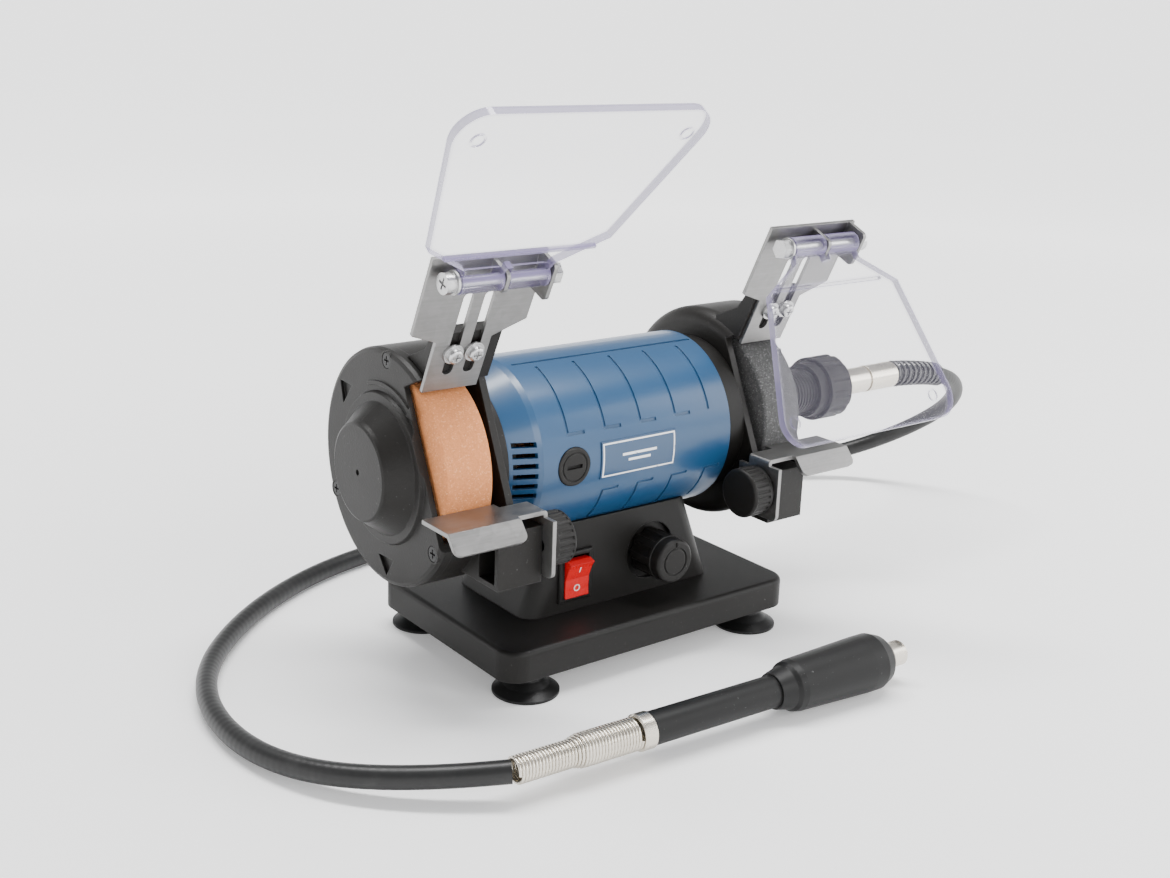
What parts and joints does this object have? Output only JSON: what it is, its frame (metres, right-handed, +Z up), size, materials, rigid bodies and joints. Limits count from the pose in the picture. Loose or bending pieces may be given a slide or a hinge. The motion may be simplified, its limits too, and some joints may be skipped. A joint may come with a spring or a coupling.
{
  "type": "bench grinder",
  "caption": "Small bench grinder with a grinding wheel on each end of its motor, eye shields, tool rests and a flexible drive shaft that ends in a handpiece.",
  "frame": {"origin": "under the middle of the base, in the plane that the suction feet stand on", "axes": "+X along the motor axis towards the flexible shaft, -Y towards the user, +Z up"},
  "size_m": [0.4366, 0.2415, 0.2229],
  "materials": {
    "black_plastic": "fine texture",
    "black_rubber": "matt",
    "red_plastic": "gloss",
    "blue_paint": "satin",
    "badge_plate": "satin",
    "zinc_steel": "zinc plated",
    "bright_steel": "ground",
    "nickel": "nickel plated",
    "lamination": "stacked sheets",
    "copper": "enamelled copper",
    "brass": "plain",
    "carbon": "matt",
    "green_board": "lacquered",
    "orange_abrasive": "rough grain",
    "grey_abrasive": "rough grain",
    "clear_shield": "clear",
    "black_sheath": "ribbed"
  },
  "bodies": {
    "machine": {"base_plate": "black_plastic", "base_cover": "black_plastic", "suction_feet": "black_rubber", "foot_screws": "zinc_steel", "pedestal": "black_plastic", "pedestal_screws": "zinc_steel", "mains_gland": "black_plastic", "switch_frame": "black_plastic", "dial_potentiometer": "zinc_steel", "speed_board": "green_board", "motor_housing": "blue_paint", "badge": "badge_plate", "left_end_bell": "black_plastic", "right_end_bell": "black_plastic", "bearings": "bright_steel", "stator_core": "lamination", "field_coils": "copper", "brush_holders": "brass", "carbon_brushes": "carbon", "brush_caps": "black_plastic", "left_guard": "black_plastic", "right_guard": "black_plastic", "left_guard_cover": "black_plastic", "right_guard_cover": "black_plastic", "cover_screws": "zinc_steel", "deflector_screws": "zinc_steel", "shaft_ferrule": "nickel", "strain_spring": "bright_steel", "flex_shaft": "black_sheath", "handpiece_spring": "nickel", "handpiece_ferrule": "nickel", "handpiece_tube": "black_plastic", "handpiece_grip": "black_plastic", "handpiece_bearings": "bright_steel"},
    "spindle": {"spindle_shaft": "bright_steel", "rotor_core": "lamination", "rotor_windings": "copper", "commutator": "copper", "cooling_fan": "black_plastic", "left_wheel": "orange_abrasive", "right_wheel": "grey_abrasive", "wheel_flanges": "zinc_steel", "spindle_nuts": "zinc_steel", "drive_socket": "bright_steel", "drive_core": "bright_steel"},
    "handpiece_rotor": {"handpiece_spindle": "bright_steel", "collet_nut": "nickel"},
    "left_deflector_body": {"left_deflector": "zinc_steel", "left_shield_bolt": "zinc_steel"},
    "right_deflector_body": {"right_deflector": "zinc_steel", "right_shield_bolt": "zinc_steel"},
    "left_shield_body": {"left_shield": "clear_shield"},
    "right_shield_body": {"right_shield": "clear_shield"},
    "left_rest_body": {"left_rest": "zinc_steel"},
    "right_rest_body": {"right_rest": "zinc_steel"},
    "left_rest_knob_body": {"left_rest_knob": "black_plastic"},
    "right_rest_knob_body": {"right_rest_knob": "black_plastic"},
    "speed_knob_body": {"speed_knob": "black_plastic"},
    "rocker_body": {"rocker": "red_plastic"},
    "coupling_nut_body": {"coupling_nut": "black_plastic"}
  },
  "joints": [
    {"name": "spindle_spin", "type": "hinge", "parent": "machine", "child": "spindle", "pos_m": [0, 0, 0.085], "axis": [1, 0, 0], "continuous": true},
    {"name": "handpiece_spin", "type": "hinge", "parent": "machine", "child": "handpiece_rotor", "pos_m": [0.07174, -0.10888, 0.011], "axis": [0.9985, -0.0541, 0], "continuous": true},
    {"name": "left_deflector_slide", "type": "slide", "parent": "machine", "child": "left_deflector_body", "axis": [0, -0.4226, 0.9063], "range_m": [-0.003, 0.007]},
    {"name": "right_deflector_slide", "type": "slide", "parent": "machine", "child": "right_deflector_body", "axis": [0, -0.4226, 0.9063], "range_m": [-0.003, 0.007]},
    {"name": "left_shield_tilt", "type": "hinge", "parent": "left_deflector_body", "child": "left_shield_body", "pos_m": [-0.0817, -0.05084, 0.16299], "axis": [1, 0, 0], "range_deg": [-25, 118]},
    {"name": "right_shield_tilt", "type": "hinge", "parent": "right_deflector_body", "child": "right_shield_body", "pos_m": [0.0716, -0.05084, 0.16299], "axis": [1, 0, 0], "range_deg": [-136.5, 6.5]},
    {"name": "left_rest_slide", "type": "slide", "parent": "machine", "child": "left_rest_body", "axis": [0, 1, 0], "range_m": [-0.005, 0.001]},
    {"name": "right_rest_slide", "type": "slide", "parent": "machine", "child": "right_rest_body", "axis": [0, 1, 0], "range_m": [-0.005, 0.001]},
    {"name": "left_rest_knob_turn", "type": "hinge", "parent": "machine", "child": "left_rest_knob_body", "pos_m": [-0.056, -0.048, 0.0645], "axis": [1, 0, 0], "range_deg": [0, 360]},
    {"name": "right_rest_knob_turn", "type": "hinge", "parent": "machine", "child": "right_rest_knob_body", "pos_m": [0.0435, -0.048, 0.0645], "axis": [-1, 0, 0], "range_deg": [0, 360]},
    {"name": "speed_knob_turn", "type": "hinge", "parent": "machine", "child": "speed_knob_body", "pos_m": [0.012, -0.033, 0.0385], "axis": [0, 1, 0], "range_deg": [0, 270]},
    {"name": "rocker_tilt", "type": "hinge", "parent": "machine", "child": "rocker_body", "pos_m": [-0.0265, -0.0245, 0.036], "axis": [-1, 0, 0], "range_deg": [0, 24]},
    {"name": "coupling_nut_turn", "type": "hinge", "parent": "machine", "child": "coupling_nut_body", "pos_m": [0.13, 0, 0.085], "axis": [1, 0, 0], "range_deg": [-360, 0]}
  ],
  "couplings": [
    {"joint": "handpiece_spin", "follows": "spindle_spin", "ratio": 1}
  ]
}
